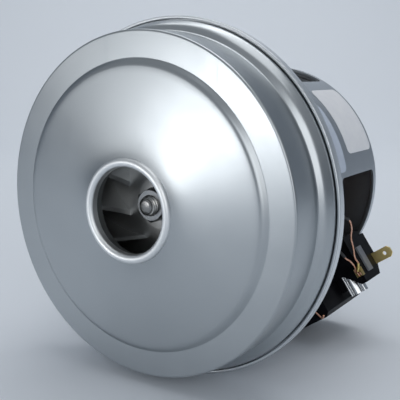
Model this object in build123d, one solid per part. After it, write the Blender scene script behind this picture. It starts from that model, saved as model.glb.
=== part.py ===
from build123d import *
from math import acos, cos, degrees, radians, sin
import os

# A vacuum cleaner motor: a single-stage fan on a series-wound commutator motor.
# Every piece is drawn with the shaft along Z, the inlet towards +Z and the plane
# where the fan cover meets the can at Z = 0. The finished pieces are then turned so
# that the shaft lies along Y, with the inlet facing -Y and Z up, and moved so that
# the rear face of the can's flange is at Y = 0. Millimetres.

# Gaps between pieces
fixed_gap = 0.03
running_gap = 0.05
coil_gap = 0.35
bearing_end_gap = 0.4

# Directions round the shaft, in degrees from +X towards +Z
strip_angle = 34.2
brush_angle = strip_angle - 90

# Shaft and ball bearings
shaft_radius = 4.0
thread_radius = 3.5
shaft_end_chamfer = 0.5
shaft_tip = 2.8
shaft_rear_gap = 0.6
collar_radius = 7.0
bearing_radius = 11.0
bearing_width = 7.0
bearing_stand = 1.2
collar_gap = 0.1

# Front bearing bracket: a bridge across the mouth of the can
bracket_sheet = 1.2
bracket_radius = 55.0
bracket_width = 30.0
bracket_floor_hole = 8.0

# Diffuser, from the bracket to the impeller
return_vane_height = 2.8
return_vane_inner = 26.0
return_vane_turn = -32.0
diffuser_sheet = 2.0
diffuser_gap = 1.0
diffuser_rim_gap = 0.6
diffuser_hole = 14.0
vane_count = 12
vane_thickness = 1.2
vane_gap = 1.4
vane_rise = 6.0
vane_turn = 58.0
vane_length = 8.0

# Impeller
blade_count = 9
blade_sheet = 0.9
impeller_radius = 50.0
impeller_sheet = 1.0
blade_outlet_height = 7.2
shroud_drop = 6.4
shroud_neck_radius = 16.3
shroud_neck_length = 3.8
shroud_shoulder = 2.0
blade_root_radius = 15.5
blade_lead_radius = 18.4
blade_root_overlap = 1.0
blade_tip_setback = 0.5
blade_inlet_angle = 23.0
blade_outlet_angle = 40.0
blade_root_angle = 207.8
nut_flats = 11.0
nut_height = 5.5
washer_radius = 9.5
washer_thickness = 1.5

# Fan cover
cover_sheet = 0.8
inlet_radius = 14.8
inlet_lip_width = 3.2
inlet_lip_rise = 1.5
inlet_lip_facets = 4
inlet_tube_length = 4.6
inlet_tube_overlap = 1.0
dome_rise = 4.2
dome_foot_radius = 48.6
dome_step = 1.5
dome_step_width = 1.7
cover_wall_radius = 59.6
cover_step_height = 7.2
cover_step_drop = 1.4
cover_step_radius = 61.9
cover_flare_height = 3.0
cover_rim_gap = 0.4

# Motor can
can_sheet = 1.0
can_radius = 48.0
can_rear_corner = 2.4
rim_radius = 65.0
rim_sheet = 1.1
rim_height = 2.2
strip_width_angle = 53.0
window_length = 33.0
window_rear_land = 6.0
window_corner = 2.5
window_cut_depth = 16.0
bearing_cup_depth = 8.0
bearing_cup_sheet = 1.2
bearing_cup_hole = 5.5
rear_vent_count = 6
rear_vent_radius = 28.0
rear_vent_width = 8.0
rear_vent_length = 12.0

# Stator
core_length = 30.0
stator_width = 87.0
slot_outer_radius = 35.8
slot_inner_radius = 25.8
bore_radius = 22.0
pole_body_width = 24.0
pole_arc = 116.0
coil_end_length = 8.5
coil_side_angle = 66.0
coil_facets = 6

# Armature
armature_radius = 21.5
armature_slots = 12
slot_depth = 9.5
slot_width = 2.4
winding_front_length = 7.0
winding_rear_length = 8.0
winding_setback = 1.0
winding_bearing_gap = 1.2
commutator_radius = 12.5
commutator_length = 18.5
commutator_gap = 3.7
commutator_bar_count = 24
commutator_bar_depth = 2.6
commutator_bar_gap = 0.5

# Brush gear, along the brush axis from the shaft, across it, and back from the cover
brush_from_rear = 15.0
brush_width = 6.3
brush_height = 11.0
brush_length = 28.0
brush_commutator_gap = 0.15
tube_wall = 0.6
tube_inner_end = 16.0
tube_outer_end = 61.5
spring_radius = 2.6
spring_wire = 0.5
brush_cap_length = 2.0
holder_gap = 0.1
holder_rear_land = 2.0
neck_half_width = 6.6
neck_wall = 2.0
neck_inner = 25.0
dome_outer = 64.8
dome_half_width = 9.0
dome_front_reach = 22.0
dome_edge = 1.6
shoulder_inner = 40.0
shoulder_outer = 60.4
shoulder_half_width = 23.0
shoulder_front_reach = 7.0
shoulder_cut = 5.0
shoulder_cut_slope = 1.4
clip_side = 11.6
clip_width = 8.9
clip_front_reach = 4.2
clip_depth = 9.2
clip_sheet = 0.6
clip_inner = 54.4
clip_outer = 63.3
clip_groove_depth = 0.9
clip_bead_width = 1.4
clip_groove_width = 2.0
clip_main_width = 3.2
clip_slope = 0.4
clip_cover_side = 3.0
tab_width = 4.8
tab_sheet = 0.8
tab_length = 8.6
tab_seat = 5.0
tab_point = 1.3
tab_hole = 0.8
tab_hole_setback = 3.2
tab_radial = 54.0
tab_rear_reach = 10.0
plate_length = 10.8
plate_width = 4.4
plate_thickness = 0.8
plate_radial = 51.7
plate_rear_reach = 0.6
terminal_width = 3.0
terminal_depth = 2.0
terminal_length = 3.6
terminal_sheet = 0.5
terminal_radial = 53.8
lead_radius = 0.42
lead_sides = 6

# Stack of sizes forward from the can's flange
bearing_front_face = bracket_sheet + bearing_stand
diffuser_bottom = bracket_sheet + return_vane_height
diffuser_top = diffuser_bottom + diffuser_sheet
back_plate_bottom = diffuser_top + diffuser_gap
back_plate_height = back_plate_bottom + impeller_sheet
shroud_rim_height = back_plate_height + blade_outlet_height
shroud_throat_height = shroud_rim_height + shroud_drop
shroud_neck_top = shroud_throat_height + shroud_neck_length
inlet_tube_end = shroud_neck_top - inlet_tube_overlap
cover_height = inlet_tube_end + inlet_tube_length
dome_foot_height = cover_height - inlet_lip_rise - dome_rise
ledge_height = dome_foot_height - dome_step
ledge_inner_radius = dome_foot_radius + dome_step_width
washer_bottom = back_plate_height
nut_bottom = washer_bottom + washer_thickness
shaft_front = nut_bottom + nut_height + shaft_tip

# Stack of sizes back from the can's flange
bearing_seat_radius = bearing_radius + fixed_gap
bracket_cup_rear = bearing_width + fixed_gap + bracket_sheet - bearing_front_face
core_front = bracket_cup_rear + winding_bearing_gap + winding_front_length
core_rear = core_front + core_length
commutator_front = core_rear + winding_rear_length + commutator_gap
commutator_rear = commutator_front + commutator_length
brush_plane = commutator_front + commutator_length / 2
can_length = brush_plane + brush_from_rear
cup_rear = can_length + bearing_cup_depth
rear_bearing_face = cup_rear - bearing_cup_sheet - bearing_end_gap - bearing_width
shaft_rear = cup_rear - bearing_cup_sheet - shaft_rear_gap
window_rear = can_length - window_rear_land
window_front = window_rear - window_length
holder_rear = can_length - holder_rear_land
dome_front = brush_plane - dome_front_reach
shoulder_front = brush_plane - shoulder_front_reach
clip_front = brush_plane - clip_front_reach
tab_plane = brush_plane + tab_rear_reach
plate_plane = brush_plane + plate_rear_reach

# Radii worked out from the sizes above
cover_mouth_radius = rim_radius - rim_sheet - cover_rim_gap
can_inner = can_radius - can_sheet
core_outer = can_inner - fixed_gap
holder_seat = can_radius + holder_gap
brush_tip = commutator_radius + brush_commutator_gap
commutator_core_radius = commutator_radius - commutator_bar_depth
diffuser_radius = min(cover_wall_radius, cover_mouth_radius) - cover_sheet - diffuser_rim_gap
shroud_slope = shroud_drop / (impeller_radius - shroud_neck_radius)
brush_half_width = brush_width / 2 + running_gap
brush_half_height = brush_height / 2 + running_gap


def turned(points):
    outline = Polyline(*points, close=True)
    return revolve(Plane.XZ * make_face(outline), Axis.Z)


def disc(radius, bottom, thickness, hole=0.0):
    plate = Circle(radius)
    if hole > 0:
        plate -= Circle(hole)
    return Pos(0, 0, bottom) * extrude(plate, thickness)


def block(x_range, y_range, z_range):
    size = (x_range[1] - x_range[0], y_range[1] - y_range[0], z_range[1] - z_range[0])
    centre = (sum(x_range) / 2, sum(y_range) / 2, sum(z_range) / 2)
    return Pos(*centre) * Box(*size)


def around(shape, count, first=0.0):
    return [Rot(0, 0, first + 360 * i / count) * shape for i in range(count)]


def at_angle(radius, angle):
    return Vector(radius, 0).rotate(Axis.Z, angle)


def sector(inner, outer, bottom, height, angle):
    half = angle / 2
    outline = [
        Line(at_angle(inner, -half), at_angle(outer, -half)),
        ThreePointArc(at_angle(outer, -half), at_angle(outer, 0), at_angle(outer, half)),
        Line(at_angle(outer, half), at_angle(inner, half)),
        ThreePointArc(at_angle(inner, half), at_angle(inner, 0), at_angle(inner, -half)),
    ]
    return Pos(0, 0, bottom) * extrude(make_face(outline), height)


# Fan cover: one deep-drawn sheet with a rolled lip at the inlet

def inlet_lip():
    radius = inlet_lip_width / 2
    centre = (inlet_radius + radius, cover_height - radius)
    end = degrees(acos(1 - inlet_lip_rise / radius))
    points = []
    for i in range(inlet_lip_facets + 1):
        angle = radians(-90 + (end + 90) * i / inlet_lip_facets)
        points.append((centre[0] + radius * sin(angle), centre[1] + radius * cos(angle)))
    return points


def make_fan_cover():
    sheet = cover_sheet
    lip = inlet_lip()
    valley = lip[-1]
    outside = [
        (dome_foot_radius, dome_foot_height),
        (ledge_inner_radius, ledge_height),
        (cover_wall_radius, ledge_height),
        (cover_wall_radius, cover_step_height),
        (cover_step_radius, cover_step_height - cover_step_drop),
        (cover_mouth_radius, cover_flare_height),
        (cover_mouth_radius, fixed_gap),
    ]
    inside = [
        (cover_mouth_radius - sheet, fixed_gap),
        (cover_mouth_radius - sheet, cover_flare_height - sheet / 2),
        (cover_step_radius - sheet / 2, cover_step_height - cover_step_drop - sheet),
        (cover_wall_radius - sheet, cover_step_height - sheet),
        (cover_wall_radius - sheet, ledge_height - sheet),
        (ledge_inner_radius - sheet / 2, ledge_height - sheet),
        (dome_foot_radius - sheet / 2, dome_foot_height - sheet),
        (valley[0], valley[1] - sheet),
        (inlet_radius + sheet, valley[1] - 2 * sheet),
        (inlet_radius + sheet, inlet_tube_end),
        (inlet_radius, inlet_tube_end),
    ]
    return turned(lip + outside + inside)


# Motor can: flange with a rolled rim, drawn cup, closed rear end with the bearing cup

def make_can():
    rear = -can_length
    cup_outer = bearing_seat_radius + bearing_cup_sheet
    outline = [
        (rim_radius, -rim_sheet),
        (rim_radius, rim_height),
        (rim_radius - rim_sheet, rim_height),
        (rim_radius - rim_sheet, 0),
        (can_inner, 0),
        (can_inner, rear + can_rear_corner),
        (can_radius - can_rear_corner, rear + can_sheet),
        (bearing_seat_radius, rear + can_sheet),
        (bearing_seat_radius, bearing_cup_sheet - cup_rear),
        (bearing_cup_hole, bearing_cup_sheet - cup_rear),
        (bearing_cup_hole, -cup_rear),
        (cup_outer, -cup_rear),
        (cup_outer, rear),
        (can_radius - can_rear_corner, rear),
        (can_radius, rear + can_rear_corner),
        (can_radius, -rim_sheet),
    ]
    can = turned(outline)
    inner = can_radius - window_cut_depth / 2
    outer = can_radius + window_cut_depth / 2
    opening = sector(inner, outer, -window_rear, window_length, 180 - strip_width_angle)
    corners = opening.edges().filter_by(GeomType.LINE).filter_by(Axis.Z, reverse=True)
    opening = fillet(corners, window_corner)
    for cut in around(opening, 2, brush_angle):
        can -= cut
    vent = Pos(rear_vent_radius, 0, rear) * Box(rear_vent_width, rear_vent_length, 4 * can_sheet)
    for cut in around(vent, rear_vent_count, strip_angle):
        can -= cut
    return can


# Shaft with the collar that the impeller is clamped against, nut and washer

def make_shaft():
    return turned([
        (0, -shaft_rear),
        (shaft_radius, -shaft_rear),
        (shaft_radius, bearing_front_face + collar_gap),
        (collar_radius, bearing_front_face + collar_gap),
        (collar_radius, back_plate_bottom),
        (shaft_radius, back_plate_bottom),
        (shaft_radius, back_plate_height),
        (thread_radius, back_plate_height),
        (thread_radius, shaft_front - shaft_end_chamfer),
        (thread_radius - shaft_end_chamfer, shaft_front),
        (0, shaft_front),
    ])


def make_nut():
    hexagon = RegularPolygon(nut_flats / 2, 6, major_radius=False, rotation=30)
    return Pos(0, 0, nut_bottom) * extrude(hexagon - Circle(thread_radius + fixed_gap), nut_height)


def make_clamp_washer():
    return disc(washer_radius, washer_bottom, washer_thickness, thread_radius + fixed_gap)


# Impeller: back plate, front shroud and curved blades between them

def make_back_plate():
    return disc(impeller_radius, back_plate_bottom, impeller_sheet, shaft_radius + fixed_gap)


def shroud_inner(radius):
    return shroud_rim_height + (impeller_radius - radius) * shroud_slope


def make_shroud():
    sheet = impeller_sheet
    neck = shroud_neck_radius
    throat = neck + shroud_shoulder
    return turned([
        (neck, shroud_neck_top),
        (neck, shroud_throat_height),
        (impeller_radius, shroud_rim_height),
        (impeller_radius, shroud_rim_height + sheet),
        (throat, shroud_inner(throat) + sheet),
        (neck + sheet, shroud_throat_height + shroud_shoulder),
        (neck + sheet, shroud_neck_top),
    ])


def make_blades():
    inlet = radians(blade_inlet_angle)
    outlet = radians(blade_outlet_angle)
    tip_radius = impeller_radius - blade_tip_setback
    start = blade_root_radius - blade_root_overlap
    reach = tip_radius ** 2 - start ** 2
    bend = reach / (2 * (tip_radius * cos(outlet) - start * cos(inlet)))
    arc = Circle(bend + blade_sheet / 2) - Circle(bend - blade_sheet / 2)
    arc = Pos(start - bend * cos(inlet), -bend * sin(inlet)) * arc
    height = shroud_throat_height - back_plate_height
    strip = Pos(0, 0, back_plate_height) * extrude(arc, height)
    space = turned([
        (blade_root_radius, back_plate_height),
        (blade_lead_radius, shroud_inner(blade_lead_radius)),
        (tip_radius, shroud_inner(tip_radius)),
        (tip_radius, back_plate_height),
    ])
    side = block(
        (-impeller_radius, impeller_radius), (-2 * impeller_radius, blade_sheet / 2), (0, shroud_throat_height)
    )
    cut = (strip & space) & side
    blade = cut.solids().sort_by(SortBy.VOLUME)[-1]
    return around(blade, blade_count, blade_root_angle)


# Ball bearings, each drawn as one piece in its cup, with the shaft turning in it

def make_bearings():
    fronts = (bearing_front_face, -rear_bearing_face)
    hole = shaft_radius + running_gap
    return [disc(bearing_radius, front - bearing_width, bearing_width, hole) for front in fronts]


# Diffuser: plate behind the impeller, vanes round it and return vanes behind

def make_diffuser():
    shape = disc(diffuser_radius, diffuser_bottom, diffuser_sheet, diffuser_hole)
    inner = impeller_radius + vane_gap
    middle = (inner + diffuser_radius) / 2
    vane = Pos(middle, 0, diffuser_top) * Rot(0, 0, vane_turn) * extrude(
        Rectangle(vane_length, vane_thickness), vane_rise
    )
    length = diffuser_radius - return_vane_inner - 2 * vane_thickness
    middle = (diffuser_radius + return_vane_inner) / 2
    return_vane = Pos(middle, 0, bracket_sheet) * Rot(0, 0, return_vane_turn) * extrude(
        Rectangle(length, vane_thickness), return_vane_height
    )
    shape += around(vane, vane_count, 180 / vane_count)
    shape += around(return_vane, vane_count)
    return shape


# Front bearing bracket with the bearing cup

def make_bracket():
    seat = bearing_seat_radius
    floor = bearing_front_face - bearing_width - fixed_gap
    half = bracket_width / 2
    plate = disc(bracket_radius, 0, bracket_sheet, seat)
    plate &= block((-bracket_radius, bracket_radius), (-half, half), (0, bracket_sheet))
    cup = turned([
        (seat, floor),
        (bracket_floor_hole, floor),
        (bracket_floor_hole, floor - bracket_sheet),
        (seat + bracket_sheet, floor - bracket_sheet),
        (seat + bracket_sheet, bracket_sheet),
        (seat, bracket_sheet),
    ])
    return Rot(0, 0, strip_angle) * (plate + cup)


# Stator: laminated core with two poles, and a coil round each

def make_stator_core():
    outer = Circle(core_outer) & Rectangle(2 * core_outer, stator_width)
    poles = Rectangle(2 * slot_outer_radius + 1, pole_body_width)
    half = radians(pole_arc / 2)
    tip = (can_radius * cos(half), can_radius * sin(half))
    spread = make_face(Polyline(
        (0, 0), tip, (can_radius, tip[1]), (can_radius, -tip[1]), (tip[0], -tip[1]), close=True
    ))
    shoe = Circle(slot_inner_radius) & spread
    profile = (outer - Circle(slot_outer_radius)) + poles + shoe + Rot(0, 0, 180) * shoe
    profile -= Circle(bore_radius)
    core = Pos(0, 0, -core_rear) * extrude(profile, core_length)
    return Rot(0, 0, strip_angle) * core


def make_field_coils():
    step = coil_side_angle / coil_facets
    inner = (slot_inner_radius + coil_gap) / cos(radians(step))
    outer = slot_outer_radius - coil_gap
    angles = [-coil_side_angle + 2 * step * i for i in range(coil_facets + 1)]
    outline = [at_angle(outer, a) for a in angles] + [at_angle(inner, a) for a in reversed(angles)]
    height = core_length + 2 * coil_end_length
    ring = Pos(0, 0, -core_rear - coil_end_length) * extrude(make_face(Polyline(*outline, close=True)), height)
    half = pole_body_width / 2 + coil_gap
    ring -= block((0, can_radius), (-half, half), (-core_rear - coil_gap, coil_gap - core_front))
    return around(ring, 2, strip_angle)


# Armature: slotted core, end windings, commutator

def make_armature_core():
    slot = Pos(armature_radius, 0) * Rectangle(2 * slot_depth, slot_width)
    profile = Circle(armature_radius) - around(slot, armature_slots) - Circle(shaft_radius + fixed_gap)
    return Pos(0, 0, -core_rear) * extrude(profile, core_length)


def make_winding(bottom, length):
    section = RegularPolygon(armature_radius - winding_setback, 2 * armature_slots)
    return Pos(0, 0, bottom) * extrude(section - Circle(shaft_radius + fixed_gap), length)


def make_commutator_core():
    profile = RegularPolygon(commutator_core_radius - fixed_gap, commutator_bar_count, major_radius=False)
    profile = Rot(0, 0, 180 / commutator_bar_count) * profile - Circle(shaft_radius + fixed_gap)
    return Pos(0, 0, -commutator_rear) * extrude(profile, commutator_length)


def make_commutator_bars():
    gap_angle = degrees(commutator_bar_gap / commutator_radius)
    half = 180 / commutator_bar_count - gap_angle / 2
    inner = commutator_core_radius / cos(radians(half))
    outline = [
        Line(at_angle(inner, -half), at_angle(commutator_radius, -half)),
        ThreePointArc(
            at_angle(commutator_radius, -half), at_angle(commutator_radius, 0), at_angle(commutator_radius, half)
        ),
        Line(at_angle(commutator_radius, half), at_angle(inner, half)),
        Line(at_angle(inner, half), at_angle(inner, -half)),
    ]
    bar = Pos(0, 0, -commutator_rear) * extrude(make_face(outline), commutator_length)
    return around(bar, commutator_bar_count)


# Brush gear, drawn with the brush along X, the tangent along Y and the shaft along Z

def make_brush():
    half_w = brush_width / 2
    half_h = brush_height / 2
    bar = block((0, brush_tip + brush_length), (-half_w, half_w), (-brush_plane - half_h, half_h - brush_plane))
    return bar - Pos(0, 0, -brush_plane) * Cylinder(brush_tip, 2 * brush_height)


def around_brush(start, end, wall):
    half_w = brush_half_width + wall
    half_h = brush_half_height + wall
    return block((start, end), (-half_w, half_w), (-brush_plane - half_h, half_h - brush_plane))


def make_brush_tube():
    outer = around_brush(tube_inner_end, tube_outer_end, tube_wall)
    return outer - around_brush(0, 2 * tube_outer_end, 0)


def make_brush_spring():
    start = brush_tip + brush_length + fixed_gap
    end = tube_outer_end - brush_cap_length - fixed_gap
    ring = RegularPolygon(spring_radius, 8) - RegularPolygon(spring_radius - spring_wire, 8)
    return Pos(start, 0, -brush_plane) * Rot(0, 90, 0) * extrude(ring, end - start)


def make_brush_cap():
    return around_brush(tube_outer_end - brush_cap_length, tube_outer_end, -fixed_gap)


def make_holder():
    rear = -holder_rear
    dome = block((shoulder_inner, dome_outer), (-dome_half_width, dome_half_width), (rear, -dome_front))
    dome = chamfer(dome.edges().filter_by(Axis.Z).sort_by(Axis.X)[-2:], dome_edge)
    shoulder = block(
        (shoulder_inner, shoulder_outer), (-shoulder_half_width, shoulder_half_width), (rear, -shoulder_front)
    )
    rear_edge = shoulder.edges().filter_by(Axis.Y).sort_by(Axis.X)[-2:].sort_by(Axis.Z)[:1]
    shoulder = chamfer(rear_edge, shoulder_cut, shoulder_cut * shoulder_cut_slope)
    half_h = brush_half_height + tube_wall + neck_wall
    neck = block(
        (neck_inner, shoulder_inner + 1), (-neck_half_width, neck_half_width),
        (-brush_plane - half_h, half_h - brush_plane),
    )
    body = dome + shoulder + neck
    body -= disc(holder_seat, -can_length, can_length - window_rear + holder_gap)
    coil_rear = core_rear + coil_end_length
    body -= disc(holder_seat, -coil_rear - 1, coil_rear)
    body -= around_brush(0, tube_outer_end + fixed_gap, tube_wall + fixed_gap)
    clip_start = clip_inner - fixed_gap
    clip_end = clip_side + clip_width
    body -= block(
        (clip_start, 2 * dome_outer), (clip_side - fixed_gap, clip_end + fixed_gap),
        (-clip_front - clip_depth - fixed_gap, fixed_gap - clip_front),
    )
    open_front = make_face(Polyline(
        (clip_start, dome_half_width),
        (clip_start, clip_side + clip_cover_side),
        (shoulder_outer, clip_end),
        (2 * dome_outer, clip_end),
        (2 * dome_outer, dome_half_width),
        close=True,
    ))
    body -= Pos(0, 0, -clip_front) * extrude(open_front, clip_front)
    body -= block(
        (terminal_radial - fixed_gap, terminal_radial + terminal_length + fixed_gap),
        (shoulder_half_width - terminal_width - fixed_gap, 2 * shoulder_half_width),
        (-shoulder_front - terminal_depth - fixed_gap, 0),
    )
    half = tab_width / 2 + fixed_gap
    thick = tab_sheet / 2 + fixed_gap
    body -= block(
        (tab_radial - half, tab_radial + half),
        (shoulder_half_width - tab_seat, 2 * shoulder_half_width),
        (-tab_plane - thick, thick - tab_plane),
    )
    return body


def make_contact_clip():
    front = -clip_front
    back = front - clip_depth
    sheet = clip_sheet
    low = front - clip_groove_depth
    groove = clip_bead_width
    main = groove + clip_groove_width
    ear = main + clip_main_width
    outside = [
        (0, back),
        (0, front),
        (groove, front),
        (groove + clip_slope, low),
        (main - clip_slope, low),
        (main, front),
        (ear, front),
        (ear + clip_slope, low),
        (clip_width, low),
        (clip_width, back),
    ]
    inside = [
        (clip_width - sheet, back),
        (clip_width - sheet, low - sheet),
        (ear, low - sheet),
        (ear - clip_slope, front - sheet),
        (main + clip_slope, front - sheet),
        (main, low - sheet),
        (groove, low - sheet),
        (groove - clip_slope, front - sheet),
        (sheet, front - sheet),
        (sheet, back),
    ]
    section = make_face(Polyline(*outside, *inside, close=True))
    return Pos(clip_inner, clip_side, 0) * extrude(Plane.YZ * section, clip_outer - clip_inner)


def make_tab():
    start = shoulder_half_width - tab_seat
    end = shoulder_half_width + tab_length
    half = tab_width / 2
    side = [(half, start), (half, end - tab_point), (half - tab_point, end)]
    outline = Polyline(*side, *[(-x, y) for x, y in reversed(side)], close=True)
    face = make_face(outline) - Pos(0, end - tab_hole_setback) * Circle(tab_hole)
    return Pos(tab_radial, 0, -tab_plane - tab_sheet / 2) * extrude(face, tab_sheet)


def make_terminal_plate():
    side = shoulder_half_width + fixed_gap
    half_l = plate_length / 2
    half_w = plate_width / 2
    return block(
        (plate_radial - half_l, plate_radial + half_l), (side, side + plate_thickness),
        (-plate_plane - half_w, half_w - plate_plane),
    )


def make_wire_terminal():
    start = shoulder_half_width - terminal_width
    floor = -shoulder_front - terminal_depth
    end = terminal_radial + terminal_length
    outer = block((terminal_radial, end), (start, shoulder_half_width), (floor, -shoulder_front))
    inner = block(
        (0, 2 * end), (start + terminal_sheet, shoulder_half_width - terminal_sheet),
        (floor + terminal_sheet, 0),
    )
    return outer - inner


# Leads: points across the brush gear as (from the shaft, sideways, ahead of the brush)

def make_lead(points):
    path = Polyline(*[(x, y, ahead - brush_plane) for x, y, ahead in points])
    section = Plane(origin=path @ 0, z_dir=path % 0) * RegularPolygon(lead_radius, lead_sides)
    return sweep(section, path=path, transition=Transition.RIGHT)


def make_leads():
    long_lead = [
        (25.0, 25.9, 17.5), (33.8, 33.2, 19.0), (35.8, 33.9, 17.0), (38.8, 32.3, 15.0), (42.2, 29.0, 13.0),
        (46.0, 26.8, 11.0), (49.6, 24.7, 9.6), (52.6, 24.4, 8.9), (54.8, 22.0, 8.1), (55.6, 22.0, 6.7),
        (57.0, 22.0, 6.3),
    ]
    short_lead = [
        (30.5, 19.1, 16.5), (38.0, 21.5, 18.0), (44.0, 24.0, 18.0), (48.1, 23.6, 15.0), (50.2, 23.3, 12.0),
        (52.9, 22.6, 9.6), (54.6, 20.98, 8.1), (55.6, 20.98, 6.7), (57.0, 20.98, 6.3),
    ]
    hook = [(58.6, 3.2, 22.5), (61.1, 4.3, 22.7), (64.3, 5.8, 23.0), (63.6, 7.3, 23.5)]
    return [make_lead(points) for points in (long_lead, short_lead, hook)]


# Write one file for each piece, turned and moved into the frame of the finished part

to_part = Pos(0, -rim_sheet, 0) * Rot(90, 0, 0)


def save(name, shape):
    pieces = shape if isinstance(shape, list) else [shape]
    placed = [to_part * piece for piece in pieces]
    solids = [solid for piece in placed for solid in piece.solids()]
    result = solids[0] if len(solids) == 1 else Compound(children=solids)
    result.label = name
    export_step(result, f"parts/{name}.step")


def on_side(shape, side):
    turn = Rot(0, 0, brush_angle + 180 * side)
    if isinstance(shape, list):
        return [turn * piece for piece in shape]
    return turn * shape


os.makedirs("parts", exist_ok=True)

save("fan_cover", make_fan_cover())
save("motor_can", make_can())
save("diffuser", make_diffuser())
save("front_bracket", make_bracket())
save("shaft", make_shaft())
save("lock_nut", make_nut())
save("clamp_washer", make_clamp_washer())
save("impeller_back_plate", make_back_plate())
save("impeller_shroud", make_shroud())
save("impeller_blades", make_blades())
save("ball_bearings", make_bearings())
save("stator_core", make_stator_core())
for coil, letter in zip(make_field_coils(), "ab"):
    save(f"field_coil_{letter}", coil)
save("armature_core", make_armature_core())
save("armature_winding_front", make_winding(fixed_gap - core_front, winding_front_length))
save("armature_winding_rear", make_winding(-core_rear - fixed_gap - winding_rear_length, winding_rear_length))
save("commutator_core", make_commutator_core())
save("commutator_bars", make_commutator_bars())

for side, letter in enumerate("ab"):
    save(f"brush_holder_{letter}", on_side(make_holder(), side))
    save(f"brush_tube_{letter}", on_side(make_brush_tube(), side))
    save(f"carbon_brush_{letter}", on_side(make_brush(), side))
    save(f"brush_spring_{letter}", on_side(make_brush_spring(), side))
    save(f"brush_cap_{letter}", on_side(make_brush_cap(), side))
    save(f"contact_clip_{letter}", on_side(make_contact_clip(), side))
    save(f"tab_terminal_{letter}", on_side(make_tab(), side))
    save(f"terminal_plate_{letter}", on_side(make_terminal_plate(), side))
    save(f"wire_terminal_{letter}", on_side(make_wire_terminal(), side))
    save(f"leads_{letter}", on_side(make_leads(), side))
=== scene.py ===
from math import atan2, cos, degrees, pi, radians, sin, tau

import bmesh
import bpy
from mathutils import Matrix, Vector


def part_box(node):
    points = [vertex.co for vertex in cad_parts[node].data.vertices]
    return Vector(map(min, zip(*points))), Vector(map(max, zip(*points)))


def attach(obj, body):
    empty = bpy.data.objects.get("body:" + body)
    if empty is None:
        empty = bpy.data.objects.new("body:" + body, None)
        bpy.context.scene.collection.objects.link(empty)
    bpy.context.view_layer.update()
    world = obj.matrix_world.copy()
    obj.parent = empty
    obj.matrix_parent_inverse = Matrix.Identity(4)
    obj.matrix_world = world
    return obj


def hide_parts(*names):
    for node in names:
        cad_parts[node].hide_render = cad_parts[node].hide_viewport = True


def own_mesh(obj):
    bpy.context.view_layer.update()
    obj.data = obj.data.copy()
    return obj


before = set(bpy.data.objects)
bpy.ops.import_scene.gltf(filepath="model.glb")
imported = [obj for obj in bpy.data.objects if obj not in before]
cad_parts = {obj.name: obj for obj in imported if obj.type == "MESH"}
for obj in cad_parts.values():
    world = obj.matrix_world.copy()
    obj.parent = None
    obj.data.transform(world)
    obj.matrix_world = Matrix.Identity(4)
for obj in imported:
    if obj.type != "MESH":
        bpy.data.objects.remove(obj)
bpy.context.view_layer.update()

# The vacuum motor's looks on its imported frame. Sizes are in millimetres in the
# named values and lists, and are turned into metres where meshes are made.

MM = 0.001
WELD = 1e-6  # metres, for points that are one point


# Places read from the frame
cover_low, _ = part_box("fan_cover")
nut_low, nut_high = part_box("lock_nut")
shaft_low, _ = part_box("shaft")
cover_front = cover_low.y / MM

# Directions round the shaft, in degrees from +X towards +Z
STRIP_ANGLE = 34.2
BRUSH_ANGLE = STRIP_ANGLE - 90

# Camera, fitted to the photograph
CAMERA_PLACE = (147.61, -207.47, 45.41)
CAMERA_FORWARD = (-0.5435, 0.8204, -0.1774)
CAMERA_LENS = 63.5


# Small helpers for meshes

def polar(radius, angle, y):
    """A point at a distance from the shaft, an angle round it and a place along it."""
    turn = radians(angle)
    return Vector((radius * cos(turn), y, radius * sin(turn))) * MM


def at_brush(radial, sideways, y, side=0):
    """A point of the brush gear: out along the brush, across it, and along the shaft."""
    turn = radians(BRUSH_ANGLE + 180 * side)
    x = radial * cos(turn) - sideways * sin(turn)
    z = radial * sin(turn) + sideways * cos(turn)
    return Vector((x, y, z)) * MM


def radius_of(spot):
    """A spot's distance from the shaft."""
    return Vector((spot.x, spot.z)).length / MM


def new_object(name, mesh, material, body="frame", sharp=35.0):
    """A named piece of one material that rides on a body, smooth below the sharp angle."""
    piece = bpy.data.objects.new(name, mesh)
    bpy.context.scene.collection.objects.link(piece)
    mesh.materials.append(material)
    mesh.shade_smooth()
    mesh.set_sharp_from_angle(angle=radians(sharp))
    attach(piece, body)
    return piece


def even_normals(piece):
    """Lets wide faces keep their own normals beside narrow bevels."""
    modifier = piece.modifiers.new("even", "WEIGHTED_NORMAL")
    modifier.keep_sharp = True
    modifier.weight = 100
    graph = bpy.context.evaluated_depsgraph_get()
    mesh = bpy.data.meshes.new_from_object(piece.evaluated_get(graph), depsgraph=graph)
    piece.modifiers.clear()
    piece.data = mesh


def mesh_from(name, points, faces):
    """A mesh from points and faces, with doubled points merged and normals outward."""
    mesh = bpy.data.meshes.new(name)
    mesh.from_pydata([tuple(p) for p in points], [], faces)
    mesh.validate()
    build = bmesh.new()
    build.from_mesh(mesh)
    bmesh.ops.remove_doubles(build, verts=build.verts, dist=1e-7)
    bmesh.ops.recalc_face_normals(build, faces=build.faces)
    build.to_mesh(mesh)
    build.free()
    return mesh


def rounded(points, closed=True, steps=5):
    """A profile of (radius, y, corner radius) with its corners rounded off."""
    result = []
    count = len(points)
    for i, (r, y, corner) in enumerate(points):
        ends = not closed and i in (0, count - 1)
        if corner <= 0 or ends:
            result.append((r, y))
            continue
        here = Vector((r, y))
        before = Vector(points[i - 1][:2]) - here
        after = Vector(points[(i + 1) % count][:2]) - here
        reach = min(corner, before.length * 0.49, after.length * 0.49)
        start = here + before.normalized() * reach
        end = here + after.normalized() * reach
        for k in range(steps + 1):
            t = k / steps
            spot = start * (1 - t) ** 2 + here * 2 * t * (1 - t) + end * t ** 2
            result.append((spot.x, spot.y))
    return result


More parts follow.
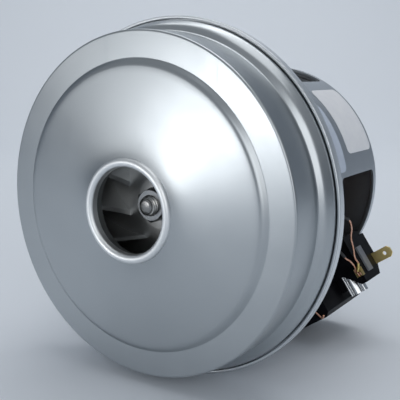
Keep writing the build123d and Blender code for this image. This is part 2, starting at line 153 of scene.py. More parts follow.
def revolved(name, profile, material, body="frame", segments=192, sharp=35.0):
    """A closed profile of (radius, y) turned round the shaft."""
    count = len(profile)
    points = []
    for i in range(segments):
        for r, y in profile:
            points.append(polar(r, 360 * i / segments, y))
    faces = []
    for i in range(segments):
        here = i * count
        after = ((i + 1) % segments) * count
        for k in range(count):
            nxt = (k + 1) % count
            faces.append((here + k, here + nxt, after + nxt, after + k))
    return new_object(name, mesh_from(name, points, faces), material, body, sharp)


def tube(name, path, radius, material, sides=12):
    """A round wire along points, in metres, with closed ends."""
    points, faces = [], []
    count = len(path)
    normal = None
    for i, spot in enumerate(path):
        ahead = (path[min(i + 1, count - 1)] - path[max(i - 1, 0)]).normalized()
        if normal is None:
            normal = ahead.orthogonal().normalized()
        normal = (normal - ahead * normal.dot(ahead)).normalized()
        side = ahead.cross(normal)
        for k in range(sides):
            turn = tau * k / sides
            points.append(spot + (normal * cos(turn) + side * sin(turn)) * radius * MM)
    for i in range(count - 1):
        for k in range(sides):
            nxt = (k + 1) % sides
            here, after = i * sides, (i + 1) * sides
            faces.append((here + k, here + nxt, after + nxt, after + k))
    faces.append(tuple(range(sides)))
    faces.append(tuple((count - 1) * sides + k for k in range(sides)))
    return new_object(name, mesh_from(name, points, faces), material)


def smooth_path(points, steps=8):
    """A path through points, in metres, rounded between them."""
    path = []
    for i in range(len(points) - 1):
        p0 = points[max(i - 1, 0)]
        p1, p2 = points[i], points[i + 1]
        p3 = points[min(i + 2, len(points) - 1)]
        for k in range(steps):
            t = k / steps
            path.append(0.5 * (
                2 * p1 + (p2 - p0) * t + (2 * p0 - 5 * p1 + 4 * p2 - p3) * t ** 2
                + (3 * p1 - p0 - 3 * p2 + p3) * t ** 3
            ))
    path.append(points[-1])
    return path


def open_copy(node):
    """A copy of a CAD node's mesh without materials, opened for editing."""
    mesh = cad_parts[node].data.copy()
    mesh.materials.clear()
    build = bmesh.new()
    build.from_mesh(mesh)
    bmesh.ops.remove_doubles(build, verts=build.verts, dist=WELD)
    return mesh, build


def close_copy(mesh, build):
    build.to_mesh(mesh)
    build.free()


def merge_flat(build):
    """Joins faces that lie in one plane."""
    bmesh.ops.dissolve_limit(build, angle_limit=radians(1), verts=build.verts, edges=build.edges)


def bevel_edges(build, edges, width, segments):
    bmesh.ops.bevel(
        build, geom=edges, offset=width * MM, segments=segments, affect="EDGES", clamp_overlap=True
    )


def bevelled_node(node, name, material, width):
    """A copy of a CAD node with its sharp edges rounded off, shown in its place."""
    mesh, build = open_copy(node)
    merge_flat(build)
    edges = [e for e in build.edges if len(e.link_faces) == 2 and e.calc_face_angle(0) > radians(35)]
    bevel_edges(build, edges, width, 2)
    close_copy(mesh, build)
    piece = new_object(name, mesh, material)
    even_normals(piece)
    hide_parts(node)


# Materials

def start_material(name):
    """A new material, its node tree and its shader."""
    material = bpy.data.materials.new(name)
    material.use_nodes = True
    tree = material.node_tree
    shader = tree.nodes["Principled BSDF"]
    return material, tree, shader


def add(tree, kind, **values):
    """A new shader node with its own settings."""
    node = tree.nodes.new(kind)
    for key, value in values.items():
        setattr(node, key, value)
    return node


def noise(tree, scale, detail, turn=(0, 0, 0), stretch=(1, 1, 1)):
    """Noise over the object's own place, in metres, longer where stretch is small."""
    place = add(tree, "ShaderNodeTexCoord")
    mapping = add(tree, "ShaderNodeMapping")
    mapping.inputs["Rotation"].default_value = turn
    mapping.inputs["Scale"].default_value = stretch
    texture = add(tree, "ShaderNodeTexNoise")
    texture.inputs["Scale"].default_value = scale
    texture.inputs["Detail"].default_value = detail
    tree.links.new(place.outputs["Object"], mapping.inputs["Vector"])
    tree.links.new(mapping.outputs["Vector"], texture.inputs["Vector"])
    return texture.outputs["Fac"]


def ramp(tree, source, low, high, start=0.35, end=0.65):
    """A colour that goes from low to high while the source goes from start to end."""
    node = add(tree, "ShaderNodeValToRGB")
    node.color_ramp.elements[0].position = start
    node.color_ramp.elements[1].position = end
    node.color_ramp.elements[0].color = low
    node.color_ramp.elements[1].color = high
    tree.links.new(source, node.inputs["Fac"])
    return node.outputs["Color"]


def spread(tree, source, low, high, start=0.3, end=0.7):
    """A number that goes from low to high while the source goes from start to end."""
    node = add(tree, "ShaderNodeMapRange")
    node.inputs["From Min"].default_value = start
    node.inputs["From Max"].default_value = end
    node.inputs["To Min"].default_value = low
    node.inputs["To Max"].default_value = high
    tree.links.new(source, node.inputs["Value"])
    return node.outputs["Result"]


def bump(tree, shader, sources):
    """Stacks (height, strength, distance in millimetres) bumps on a shader."""
    last = None
    for height, strength, distance in sources:
        node = add(tree, "ShaderNodeBump")
        node.inputs["Strength"].default_value = strength
        node.inputs["Distance"].default_value = distance * MM
        tree.links.new(height, node.inputs["Height"])
        if last is not None:
            tree.links.new(last, node.inputs["Normal"])
        last = node.outputs["Normal"]
    tree.links.new(last, shader.inputs["Normal"])


def shade(color):
    """A colour with its alpha."""
    return (color[0], color[1], color[2], 1.0)


def scratches(tree, turn, scale):
    """Fine straight marks in one direction."""
    lines = noise(tree, scale, 1.0, turn, (1.0, 1.0, 0.05))
    return spread(tree, lines, 0.0, 1.0, 0.70, 0.74)


def steel(name, light, dark, rough, grain=1.0, marks=True):
    """Satin metal: faint clouds, fine grain and, with marks, a few light scratches."""
    material, tree, shader = start_material(name)
    shader.inputs["Metallic"].default_value = 1.0
    clouds = noise(tree, 26, 2)
    tree.links.new(ramp(tree, clouds, shade(dark), shade(light), 0.25, 0.75), shader.inputs["Base Color"])
    fine = noise(tree, 90, 2)
    base = spread(tree, fine, rough - 0.02, rough + 0.02)
    if marks:
        mark = scratches(tree, (0.0, 0.75, 0.0), 420)
        total = add(tree, "ShaderNodeMath", operation="MULTIPLY_ADD")
        total.inputs[1].default_value = 0.05
        tree.links.new(mark, total.inputs[0])
        tree.links.new(base, total.inputs[2])
        tree.links.new(total.outputs["Value"], shader.inputs["Roughness"])
    else:
        tree.links.new(base, shader.inputs["Roughness"])
    bump(tree, shader, [(clouds, 0.02, 0.3), (noise(tree, 3000, 2), 0.05 * grain, 0.01)])
    return material


def plain(name, light, dark, rough, metal=0.0, scale=180, depth=0.15, gloss=0.5):
    """A surface with soft changes of colour and roughness."""
    material, tree, shader = start_material(name)
    shader.inputs["Metallic"].default_value = metal
    shader.inputs["Specular IOR Level"].default_value = gloss
    clouds = noise(tree, scale, 4)
    tree.links.new(ramp(tree, clouds, shade(dark), shade(light)), shader.inputs["Base Color"])
    fine = noise(tree, scale * 6, 3)
    tree.links.new(spread(tree, fine, rough - 0.06, rough + 0.06), shader.inputs["Roughness"])
    bump(tree, shader, [(fine, depth, 0.03)])
    return material


def banded(name, light, dark, rough, pitch, metal):
    """Thin layers or turns of wire, one beside the next along the shaft."""
    material, tree, shader = start_material(name)
    shader.inputs["Metallic"].default_value = metal
    place = add(tree, "ShaderNodeTexCoord")
    wave = add(tree, "ShaderNodeTexWave", wave_type="BANDS", bands_direction="Y")
    wave.inputs["Scale"].default_value = 1 / (pitch * MM) / 3.2
    wave.inputs["Distortion"].default_value = 0.25
    tree.links.new(place.outputs["Object"], wave.inputs["Vector"])
    tone = ramp(tree, wave.outputs["Fac"], shade(dark), shade(light), 0.1, 0.9)
    tree.links.new(tone, shader.inputs["Base Color"])
    fine = noise(tree, 900, 3)
    tree.links.new(spread(tree, fine, rough - 0.08, rough + 0.08), shader.inputs["Roughness"])
    bump(tree, shader, [(wave.outputs["Fac"], 0.5, 0.12), (fine, 0.1, 0.02)])
    return material


cover_steel = steel("cover_steel", (0.47, 0.50, 0.52), (0.43, 0.46, 0.48), 0.30)
can_steel = steel("can_steel", (0.50, 0.53, 0.56), (0.45, 0.48, 0.51), 0.36)
# A lighter copy of the can's steel for the rolled rim: a painted highlight.
rim_painted_highlight = steel("rim_painted_highlight", (0.76, 0.79, 0.81), (0.70, 0.73, 0.75), 0.38)
# A lighter copy of the cover's steel for the rolled lip: partly wear on the edge, partly a painted
# highlight.
lip_wear_and_painted_sheen = steel("lip_wear_and_painted_sheen", (0.86, 0.88, 0.89), (0.80, 0.82, 0.83), 0.42, marks=False)
# A darker copy of the steel for the front bracket inside the motor: painted shade.
inner_painted_shade = steel("inner_painted_shade", (0.30, 0.31, 0.32), (0.22, 0.23, 0.24), 0.45, marks=False)
shaft_steel = steel("shaft_steel", (0.45, 0.45, 0.44), (0.33, 0.33, 0.33), 0.32, marks=False)
nut_steel = steel("nut_steel", (0.32, 0.33, 0.34), (0.24, 0.25, 0.26), 0.30, marks=False)
clip_steel = steel("clip_steel", (0.66, 0.68, 0.70), (0.58, 0.60, 0.62), 0.24, 0.5, marks=False)
fan_aluminium = steel("fan_aluminium", (0.58, 0.59, 0.59), (0.44, 0.45, 0.45), 0.38)
# The shroud's aluminium is a darker copy of the fan's: painted shade for the shroud, which sits in shade
# inside the eye.
shroud_painted_shade = steel("shroud_painted_shade", (0.28, 0.29, 0.29), (0.20, 0.21, 0.21), 0.42, marks=False)
bakelite = plain("bakelite", (0.006, 0.006, 0.008), (0.003, 0.003, 0.004), 0.34, gloss=0.06)
black_plastic = plain("black_plastic", (0.030, 0.030, 0.032), (0.018, 0.018, 0.019), 0.55)
# A darker copy of the tab's brass for the brush tubes, caps and wire terminals: painted shade.
brass = plain("brass", (0.50, 0.40, 0.18), (0.40, 0.31, 0.13), 0.42, metal=1.0, depth=0.1)
tab_brass = plain("tab_brass", (0.95, 0.78, 0.36), (0.84, 0.67, 0.29), 0.5, metal=1.0, depth=0.1)
sleeve_brass = plain("sleeve_brass", (0.86, 0.72, 0.28), (0.70, 0.55, 0.18), 0.3, metal=1.0, scale=400)
copper_wire = plain("copper_wire", (0.86, 0.52, 0.38), (0.74, 0.38, 0.25), 0.26, metal=1.0, scale=600)
grey_plate = plain("grey_plate", (0.19, 0.20, 0.22), (0.16, 0.17, 0.19), 0.48, scale=300)
white_label = plain("white_label", (0.87, 0.88, 0.90), (0.83, 0.84, 0.87), 0.45, scale=240, depth=0.05)
strip_label = plain("strip_label", (0.56, 0.62, 0.72), (0.52, 0.58, 0.68), 0.45, scale=240, depth=0.05)
carbon = plain("carbon", (0.035, 0.034, 0.033), (0.018, 0.018, 0.018), 0.62, scale=900, depth=0.3)
laminations = banded("laminations", (0.20, 0.21, 0.22), (0.09, 0.095, 0.10), 0.45, 0.5, metal=0.8)
coil_wire = banded("coil_wire", (0.16, 0.065, 0.03), (0.045, 0.018, 0.010), 0.35, 0.6, metal=0.5)
commutator_copper = plain(
    "commutator_copper", (0.62, 0.30, 0.17), (0.38, 0.18, 0.10), 0.32, metal=1.0, scale=500
)
spring_steel = steel("spring_steel", (0.55, 0.55, 0.55), (0.42, 0.42, 0.42), 0.28, marks=False)

node_materials = {
    "fan_cover": cover_steel,
    "motor_can": can_steel,
    "diffuser": black_plastic,
    "front_bracket": inner_painted_shade,
    "ball_bearings": shaft_steel,
    "stator_core": laminations,
    "field_coil_a": coil_wire,
    "field_coil_b": coil_wire,
    "shaft": shaft_steel,
    "lock_nut": nut_steel,
    "clamp_washer": fan_aluminium,
    "impeller_back_plate": fan_aluminium,
    "impeller_shroud": shroud_painted_shade,
    "impeller_blades": fan_aluminium,
    "armature_core": laminations,
    "armature_winding_front": coil_wire,
    "armature_winding_rear": coil_wire,
    "commutator_core": bakelite,
    "commutator_bars": commutator_copper,
}
for letter in "ab":
    node_materials.update({
        f"brush_holder_{letter}": bakelite,
        f"brush_tube_{letter}": brass,
        f"carbon_brush_{letter}": carbon,
        f"brush_spring_{letter}": spring_steel,
        f"brush_cap_{letter}": brass,
        f"contact_clip_{letter}": clip_steel,
        f"tab_terminal_{letter}": tab_brass,
        f"terminal_plate_{letter}": grey_plate,
        f"wire_terminal_{letter}": brass,
        f"leads_{letter}": copper_wire,
    })
for node, material in node_materials.items():
    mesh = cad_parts[node].data
    mesh.materials.clear()
    mesh.materials.append(material)
    mesh.shade_smooth()
    mesh.set_sharp_from_angle(angle=radians(30))


# Fan cover, drawn again with its rolled lip and rounded bends

SHEET = 0.8
LIP_RADIUS = 1.6
LIP_SWEEP = 176
LIP_STEPS = 18
LIP_SHINE = 80
INLET_RADIUS = 14.8
DOME_FOOT = (48.6, -24.4)
LEDGE = (50.3, -22.9)
WALL_RADIUS = 59.6
STEP = (61.9, -6.9)
STEP_TOP = -8.3
MOUTH = (63.5, -4.1)
MOUTH_END = -1.13
DOME_FLARE = 1.0
DOME_STEPS = 28
THROAT = 3.2


def make_cover():
    """The cover as one turned profile: lip, dome, ledge, wall, step and mouth, and back inside."""
    centre = (INLET_RADIUS + LIP_RADIUS, cover_front + LIP_RADIUS)
    lip = []
    for k in range(LIP_STEPS + 1):
        turn = radians(-90 + LIP_SWEEP * k / LIP_STEPS)
        lip.append((centre[0] + LIP_RADIUS * sin(turn), centre[1] - LIP_RADIUS * cos(turn)))
    dome = dome_curve(lip[-1])
    outside = [
        (*DOME_FOOT, 1.5), (*LEDGE, 0.25), (WALL_RADIUS, LEDGE[1], 0.9),
        (WALL_RADIUS, STEP_TOP, 0.5), (*STEP, 1.0), (*MOUTH, 1.0), (MOUTH[0], MOUTH_END, 0.15),
        (MOUTH[0] - SHEET, MOUTH_END, 0.15), (MOUTH[0] - SHEET, MOUTH[1] - 0.4, 1.0),
        (WALL_RADIUS - SHEET, STEP_TOP + SHEET, 0.5), (WALL_RADIUS - SHEET, LEDGE[1] + SHEET, 0.6),
        (LEDGE[0] - SHEET / 2, LEDGE[1] + SHEET, 0.6),
        (DOME_FOOT[0] - SHEET / 2, DOME_FOOT[1] + SHEET, 0.6),
    ]
    under = [(r, y + SHEET) for r, y in reversed(dome)]
    inside = [(INLET_RADIUS + SHEET, cover_front + THROAT), (INLET_RADIUS, cover_front + THROAT)]
    rim = rounded([(*dome[-1], 0.0)] + outside + [(*under[0], 0.0)], closed=False)
    profile = lip[:-1] + dome[:-1] + rim + under[1:] + inside
    cover = revolved("fan_cover_skin", profile, cover_steel, segments=256)
    # The lip's faces take the lighter steel, partly wear and partly painted highlight.
    cover.data.materials.append(lip_wear_and_painted_sheen)
    lip_edge = centre[0] + LIP_RADIUS * sin(radians(LIP_SHINE))
    for face in cover.data.polygons:
        if radius_of(face.center) < lip_edge:
            face.material_index = 1
    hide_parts("fan_cover")


def dome_curve(start):
    """The dome falls steeply beside the lip, then flattens out towards its foot."""
    foot = (DOME_FOOT[0] - 2.2, DOME_FOOT[1] - 0.30)
    points = []
    for k in range(DOME_STEPS + 1):
        t = k / DOME_STEPS
        r = start[0] + (foot[0] - start[0]) * t
        flare = DOME_FLARE * (1 - t) * (1 - (1 - t) ** 6)
        points.append((r, start[1] + (foot[1] - start[1]) * t + flare))
    return points


make_cover()


# Motor can with its edges rounded, the ring of its rim, and the labels on it

CAN_RADIUS = 48.0
CAN_REAR = 78.88
REAR_CORNER = 2.4
RIM_RADIUS = 64.975
RIM_SHEET = 1.13
RIM_FRONT = -3.32
RIM_REAR = 0.02
RIM_HIDE = 0.08
LABEL_LIFT = 0.10


def make_can():
    """A copy of the can with its rear corner and its sheet edges rounded."""
    mesh, build = open_copy("motor_can")
    merge_flat(build)
    for kind, width, segments in (("corner", 0.9, 4), ("edge", 0.18, 2)):
        edges = [e for e in build.edges if edge_kind(e) == kind]
        bevel_edges(build, edges, width, segments)
    for vert in build.verts:
        thin_rim(vert)
    close_copy(mesh, build)
    can = new_object("can_skin", mesh, can_steel)
    even_normals(can)
    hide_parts("motor_can")


def edge_kind(edge):
    """Tells the rear corner and the sheet's own edges apart, and leaves out the rim's."""
    if len(edge.link_faces) != 2 or edge.calc_face_angle(0) < radians(30):
        return None
    middle = (edge.verts[0].co + edge.verts[1].co) / 2
    radius = radius_of(middle)
    if radius > RIM_RADIUS - 1.5 * RIM_SHEET:
        return None
    near_rear = CAN_REAR - REAR_CORNER - 0.1 < middle.y / MM < CAN_REAR + 0.1
    if near_rear and radius > CAN_RADIUS - REAR_CORNER - 0.1:
        return "corner"
    return "edge"


def thin_rim(vert):
    """Draws the copy's rim in a little, so that it lies inside the turned ring."""
    radius = radius_of(vert.co)
    if radius < RIM_RADIUS - 1.5 * RIM_SHEET:
        return
    middle = RIM_RADIUS - RIM_SHEET / 2
    scale = (radius - RIM_HIDE) / radius if radius > middle else (radius + RIM_HIDE) / radius
    vert.co.x *= scale
    vert.co.z *= scale
    if vert.co.y < RIM_FRONT * MM / 2:
        vert.co.y += RIM_HIDE * MM


def make_rim():
    """The rolled rim as a turned ring over the can's own, in the lighter steel of its painted highlight.
    """
    inner = RIM_RADIUS - RIM_SHEET
    outline = [
        (inner, -0.9, 0.0), (inner, RIM_FRONT, 0.55), (RIM_RADIUS, RIM_FRONT, 0.55),
        (RIM_RADIUS, RIM_REAR, 0.5), (inner, RIM_REAR, 0.0),
    ]
    rim = revolved("rolled_rim", rounded(outline), rim_painted_highlight, segments=256)


def make_label(name, angles, span, corner, material):
    """A blank label with rounded corners, bent round the can."""
    columns, rows = 48, 12
    arc = radians(angles[1] - angles[0]) * CAN_RADIUS
    height = span[1] - span[0]
    points, faces = [], []
    for i in range(columns + 1):
        along = arc * (1 - cos(pi * i / columns)) / 2
        near = min(along, arc - along)
        inset = corner - (max(corner ** 2 - (corner - near) ** 2, 0)) ** 0.5 if near < corner else 0.0
        for layer in (CAN_RADIUS + 0.01, CAN_RADIUS + LABEL_LIFT):
            for k in range(rows + 1):
                y = span[0] + inset + (height - 2 * inset) * k / rows
                points.append(polar(layer, angles[0] + degrees(along / CAN_RADIUS), y))
    width = rows + 1
    for i in range(columns):
        for k in range(rows):
            for layer in (0, 1):
                a = (2 * i + layer) * width + k
                b = (2 * (i + 1) + layer) * width + k
                faces.append((a, a + 1, b + 1, b))
        for k in (0, rows):
            a = 2 * i * width + k
            b = 2 * (i + 1) * width + k
            faces.append((a, a + width, b + width, b))
    for i in (0, columns):
        for k in range(rows):
            a = 2 * i * width + k
            faces.append((a, a + 1, a + 1 + width, a + width))
    new_object(name, mesh_from(name, points, faces), material, sharp=40)


make_can()
make_rim()
make_label("main_label", (17.7, 53.2), (49.9, 73.9), 2.6, white_label)
make_label("strip_label", (10.2, 43.7), (37.9, 44.9), 2.2, strip_label)


# Shaft with its thread, and the nut in the inlet

THREAD_RADIUS = 3.35
THREAD_DEPTH = 0.65
THREAD_PITCH = 1.2
THREAD_LENGTH = 4.6
TIP_RADIUS = 1.9
TIP_LENGTH = 0.7
NUT_FLAT = 5.5
NUT_CORNER = 6.25
NUT_STEPS = 144


def make_shaft():
    """A copy of the shaft that ends inside the nut, where the cut thread takes over."""
    mesh, build = open_copy("shaft")
    cut = Vector((0, shaft_low.y + (THREAD_LENGTH - 0.1) * MM, 0))
    parts = build.verts[:] + build.edges[:] + build.faces[:]
    bmesh.ops.bisect_plane(build, geom=parts, plane_co=cut, plane_no=(0, 1, 0), clear_inner=True)
    bmesh.ops.holes_fill(build, edges=[e for e in build.edges if e.is_boundary], sides=0)
    close_copy(mesh, build)
    shaft = new_object("shaft_skin", mesh, shaft_steel, "rotor")
    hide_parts("shaft")


def thread_painted_shade():
    """Painted shade in the grooves, darkest at their root, under lighter crests, with a mid-grey end face
    at the tip.
    """
    material, tree, shader = start_material("thread_painted_shade")
    shader.inputs["Metallic"].default_value = 1.0
    place = add(tree, "ShaderNodeTexCoord")
    flat = add(tree, "ShaderNodeVectorMath", operation="MULTIPLY")
    flat.inputs[1].default_value = (1, 0, 1)
    distance = add(tree, "ShaderNodeVectorMath", operation="LENGTH")
    tree.links.new(place.outputs["Object"], flat.inputs[0])
    tree.links.new(flat.outputs["Vector"], distance.inputs[0])
    root = THREAD_RADIUS - THREAD_DEPTH
    level = spread(tree, distance.outputs["Value"], 0.0, 1.0, (root - 0.3) * MM, THREAD_RADIUS * MM)
    tone = ramp(tree, level, (0.26, 0.26, 0.26, 1.0), (0.66, 0.66, 0.64, 1.0), 0.08, 1.0)
    dark = tone.node.color_ramp.elements.new(0.3)
    dark.color = (0.03, 0.03, 0.03, 1.0)
    tree.links.new(tone, shader.inputs["Base Color"])
    tree.links.new(spread(tree, noise(tree, 700, 3), 0.24, 0.36), shader.inputs["Roughness"])
    return material


def make_thread():
    """The threaded end: a helical groove that runs out of a turned-down tip."""
    front = shaft_low.y / MM
    around, rows = 72, 150
    points, faces = [], []
    for k in range(rows + 1):
        along = THREAD_LENGTH * k / rows
        full = min(1.0, along / TIP_LENGTH)
        for i in range(around):
            phase = (along / THREAD_PITCH + i / around) % 1.0
            groove = abs(2 * phase - 1)
            crest = THREAD_RADIUS - THREAD_DEPTH * min(1.0, max(0.0, 1.3 * groove - 0.15))
            radius = min(crest, TIP_RADIUS + (THREAD_RADIUS - TIP_RADIUS) * full)
            points.append(polar(radius, 360 * i / around, front + along))
    for k in range(rows):
        for i in range(around):
            j = (i + 1) % around
            here, after = k * around, (k + 1) * around
            faces.append((here + i, here + j, after + j, after + i))
    points.append(polar(0, 0, front))
    faces += [(len(points) - 1, (i + 1) % around, i) for i in range(around)]
    faces.append(tuple(rows * around + i for i in range(around)))
    mesh = mesh_from("shaft_thread", points, faces)
    thread = new_object("shaft_thread", mesh, thread_painted_shade(), "rotor", 50)


def make_nut():
    """A hexagonal nut with its corners turned off and a countersunk thread."""
    front, rear = nut_low.y / MM, nut_high.y / MM
    bore = THREAD_RADIUS + 0.2
    rings = [
        (bore, front + 0.4), (bore + 0.25, front), (NUT_FLAT * 0.97, front),
        (None, front + 0.55), (None, rear), (bore, rear),
    ]
    points, faces = [], []
    for radius, y in rings:
        for i in range(NUT_STEPS):
            angle = 360 * i / NUT_STEPS
            away = angle % 60 - 30
            hexagon = min(NUT_FLAT / cos(radians(away)), NUT_CORNER)
            points.append(polar(hexagon if radius is None else radius, angle + 30, y))
    for k in range(len(rings)):
        here, after = k * NUT_STEPS, (k + 1) % len(rings) * NUT_STEPS
        for i in range(NUT_STEPS):
            j = (i + 1) % NUT_STEPS
            faces.append((here + i, here + j, after + j, after + i))
    nut = new_object("hex_nut", mesh_from("hex_nut", points, faces), nut_steel, "rotor", 25)
    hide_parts("lock_nut")


make_shaft()
make_thread()
make_nut()


# Brush gear

# Leads are points (out along the brush, across it, ahead of the brushes' plane)
BRUSH_PLANE = 63.88
LONG_LEAD = [
    (25.0, 25.9, 17.5), (33.8, 33.2, 19.0), (35.8, 33.9, 17.0), (38.8, 32.3, 15.0), (42.2, 29.0, 13.0),
    (46.0, 26.8, 11.0), (49.6, 24.7, 9.6), (52.6, 24.4, 8.9), (54.8, 22.0, 8.1), (55.6, 22.0, 6.7),
    (57.0, 22.0, 6.3),
]
SHORT_LEAD = [
    (30.5, 19.1, 16.5), (38.0, 21.5, 18.0), (44.0, 24.0, 18.0), (48.1, 23.6, 15.0), (50.2, 23.3, 12.0),
    (52.9, 22.6, 9.6), (54.6, 20.98, 8.1), (55.6, 20.98, 6.7), (57.0, 20.98, 6.3),
]
HOOK = [(58.6, 3.2, 22.5), (61.1, 4.3, 22.7), (64.3, 5.8, 23.0), (63.6, 7.3, 23.5)]
LEAD_RADIUS = 0.36
SLEEVE = [(52.2, 24.45, 9.0), (53.4, 23.6, 8.7), (54.9, 22.0, 7.9)]
SLEEVE_RADIUS = 0.52
LONG_COVER = [(24.6, 25.5, 17.4), (33.8, 33.2, 19.0), (35.6, 33.85, 17.2)]
SHORT_COVER = [(30.1, 18.9, 16.4), (38.0, 21.5, 18.0), (44.0, 24.0, 18.0), (47.5, 23.75, 15.6)]
COVER_RADIUS = 0.62
SPRING = {"radius": 2.35, "wire": 0.22, "start": 40.9, "end": 59.3, "turns": 11, "travel": 6.0}


def lead_path(points, side, steps=8):
    """The smooth path, in metres, of a lead's points."""
    return smooth_path([at_brush(r, t, BRUSH_PLANE - ahead, side) for r, t, ahead in points], steps)


def make_leads(side, letter):
    """Three copper leads, a brass sleeve round two of them, and black covers where they begin."""
    for number, points in enumerate((LONG_LEAD, SHORT_LEAD, HOOK), start=1):
        path = lead_path(points, side)
        lead = tube(f"lead_{letter}_{number}", path, LEAD_RADIUS, copper_wire)
    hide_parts(f"leads_{letter}")
    sleeve = tube(f"lead_sleeve_{letter}", lead_path(SLEEVE, side, 4), SLEEVE_RADIUS, sleeve_brass)
    for number, points in enumerate((LONG_COVER, SHORT_COVER), start=1):
        tube(f"lead_cover_{letter}_{number}", lead_path(points, side, 6), COVER_RADIUS, black_plastic)


def make_spring(side, letter):
    """The helical spring between brush and cap."""
    length = SPRING["end"] - SPRING["start"]
    steps = SPRING["turns"] * 20
    path = []
    for k in range(steps + 1):
        turn = tau * SPRING["turns"] * k / steps
        along = SPRING["start"] + length * k / steps
        path.append(at_brush(
            along, SPRING["radius"] * cos(turn), BRUSH_PLANE + SPRING["radius"] * sin(turn), side
        ))
    spring = tube(f"spring_{letter}", path, SPRING["wire"], spring_steel, 8)
    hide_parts(f"brush_spring_{letter}")
    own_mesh(spring)


# The clip's section is points (across, ahead of the brushes' plane, corner radius)
CLIP_SIDE = 11.6
CLIP_BACK = -5.0
CLIP_SHEET = 0.3
CLIP_LENGTH = (54.4, 63.3)
CLIP_SECTION = [
    (0.0, CLIP_BACK, 0.0), (0.0, 4.2, 0.65), (1.3, 4.2, 0.65), (1.5, 3.2, 0.3), (2.0, 3.1, 0.3),
    (2.3, 4.1, 0.6), (3.5, 3.95, 1.0), (4.9, 2.95, 1.0), (5.3, 2.4, 0.2), (5.7, 2.4, 0.2), (5.9, 3.4, 0.4),
    (7.3, 3.0, 0.5), (7.3, 0.6, 0.0),
]


def make_clip(side, letter):
    """The clip of bent sheet: a bead, a groove, a bulged face, a second groove and a thin ear."""
    outside = rounded(CLIP_SECTION, closed=False, steps=6)
    inside = []
    for i, spot in enumerate(outside):
        ahead = Vector(outside[min(i + 1, len(outside) - 1)]) - Vector(outside[max(i - 1, 0)])
        away = Vector((ahead.y, -ahead.x)).normalized()
        inside.append((spot[0] + away.x * CLIP_SHEET, spot[1] + away.y * CLIP_SHEET))
    section = outside + inside[::-1]
    count = len(section)
    points = []
    for radial in CLIP_LENGTH:
        for sideways, forward in section:
            points.append(at_brush(radial, CLIP_SIDE + sideways, BRUSH_PLANE - forward, side))
    faces = []
    half = count // 2
    for i in range(count):
        j = (i + 1) % count
        faces.append((i, j, count + j, count + i))
    for i in range(half - 1):
        j = count - 1 - i
        faces.append((i, i + 1, j - 1, j))
        faces.append((count + i, count + j, count + j - 1, count + i + 1))
    clip = new_object(f"clip_{letter}", mesh_from(f"clip_{letter}", points, faces), clip_steel, sharp=40)
    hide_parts(f"contact_clip_{letter}")


for side, letter in enumerate("ab"):
    make_leads(side, letter)
    make_clip(side, letter)
    make_spring(side, letter)
    bevelled_node(f"brush_holder_{letter}", f"holder_{letter}", bakelite, 0.35)
    bevelled_node(f"tab_terminal_{letter}", f"tab_{letter}", tab_brass, 0.10)


# Floor and lamps, in metres, and the camera

FLOOR_REACH = 30.0
FLOOR_BACK = 1.4
FLOOR_BEND = 0.6
BACKDROP_HEIGHT = 2.5


def make_stage():
    """A pale floor that bends up into a backdrop behind the object."""
    material, tree, shader = start_material("floor")
    shader.inputs["Base Color"].default_value = (0.74, 0.78, 0.83, 1.0)
    shader.inputs["Roughness"].default_value = 0.9
    low, start = cover_low.z, FLOOR_BACK - FLOOR_BEND
    turn = atan2(CAMERA_FORWARD[0], CAMERA_FORWARD[1])
    outline = [(-FLOOR_REACH, low), (start, low)]
    for k in range(1, 13):
        angle = radians(90 * k / 12)
        outline.append((start + FLOOR_BEND * sin(angle), low + FLOOR_BEND - FLOOR_BEND * cos(angle)))
    outline.append((FLOOR_BACK, low + BACKDROP_HEIGHT))
    points, faces = [], []
    for away, height in outline:
        for across in (-FLOOR_REACH, FLOOR_REACH):
            points.append((
                away * sin(turn) + across * cos(turn), away * cos(turn) - across * sin(turn), height
            ))
    for i in range(len(outline) - 1):
        faces.append((2 * i, 2 * i + 1, 2 * i + 3, 2 * i + 2))
    mesh = bpy.data.meshes.new("floor")
    mesh.from_pydata(points, [], faces)
    mesh.materials.append(material)
    mesh.shade_smooth()
    floor = bpy.data.objects.new("floor", mesh)
    bpy.context.scene.collection.objects.link(floor)


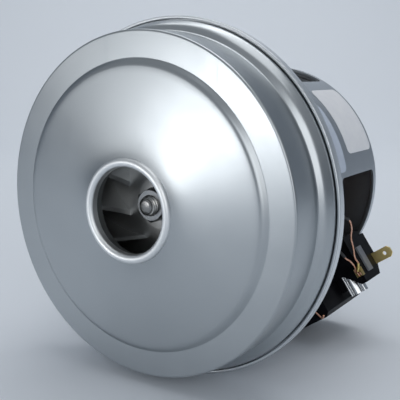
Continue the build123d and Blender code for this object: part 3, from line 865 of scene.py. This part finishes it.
def make_world():
    """A studio's soft light, paler above than below."""
    world = bpy.data.worlds.new("studio")
    bpy.context.scene.world = world
    world.use_nodes = True
    tree = world.node_tree
    light = tree.nodes["Background"]
    light.inputs["Strength"].default_value = 0.42
    place = add(tree, "ShaderNodeTexCoord")
    split = add(tree, "ShaderNodeSeparateXYZ")
    tree.links.new(place.outputs["Generated"], split.inputs["Vector"])
    level = spread(tree, split.outputs["Z"], 0.0, 1.0, -0.15, 0.55)
    tone = ramp(tree, level, (0.20, 0.24, 0.30, 1.0), (0.75, 0.80, 0.86, 1.0), 0.0, 1.0)
    tree.links.new(tone, light.inputs["Color"])


def area_light(name, place, target, size, power, shape="RECTANGLE"):
    """A lamp at a place that faces its target and isn't seen itself."""
    data = bpy.data.lights.new(name, "AREA")
    data.shape = shape
    data.size, data.size_y = size
    data.energy = power
    lamp = bpy.data.objects.new(name, data)
    lamp.location = place
    lamp.visible_camera = False
    lamp.rotation_euler = (Vector(target) - Vector(place)).to_track_quat("-Z", "Y").to_euler()
    bpy.context.scene.collection.objects.link(lamp)


def make_camera():
    data = bpy.data.cameras.new("camera")
    data.lens = CAMERA_LENS
    data.sensor_width = 36.0
    data.clip_start = 0.01
    camera = bpy.data.objects.new("camera", data)
    camera.location = Vector(CAMERA_PLACE) * MM
    camera.rotation_euler = Vector(CAMERA_FORWARD).to_track_quat("-Z", "Y").to_euler()
    bpy.context.scene.collection.objects.link(camera)
    bpy.context.scene.camera = camera


make_stage()
make_world()
area_light("key", (-0.38, -0.91, 0.05), (0, -0.02, 0), (0.44, 0.22), 0.85, "ELLIPSE")
area_light("glow", (-0.47, -0.87, 0.16), (0, -0.02, 0), (0.88, 0.42), 0.86, "ELLIPSE")
area_light("side", (0.60, -0.76, 0.32), (0, 0, 0), (0.56, 0.68), 1.9)
area_light("top", (0.15, 0.10, 0.95), (0, 0.03, 0), (0.9, 0.7), 2.0)
area_light("backdrop", (-0.3, 0.5, 1.1), (-0.6, 1.0, 0.1), (1.2, 0.6), 5.5)
make_camera()
bpy.context.scene.view_settings.view_transform = "Standard"
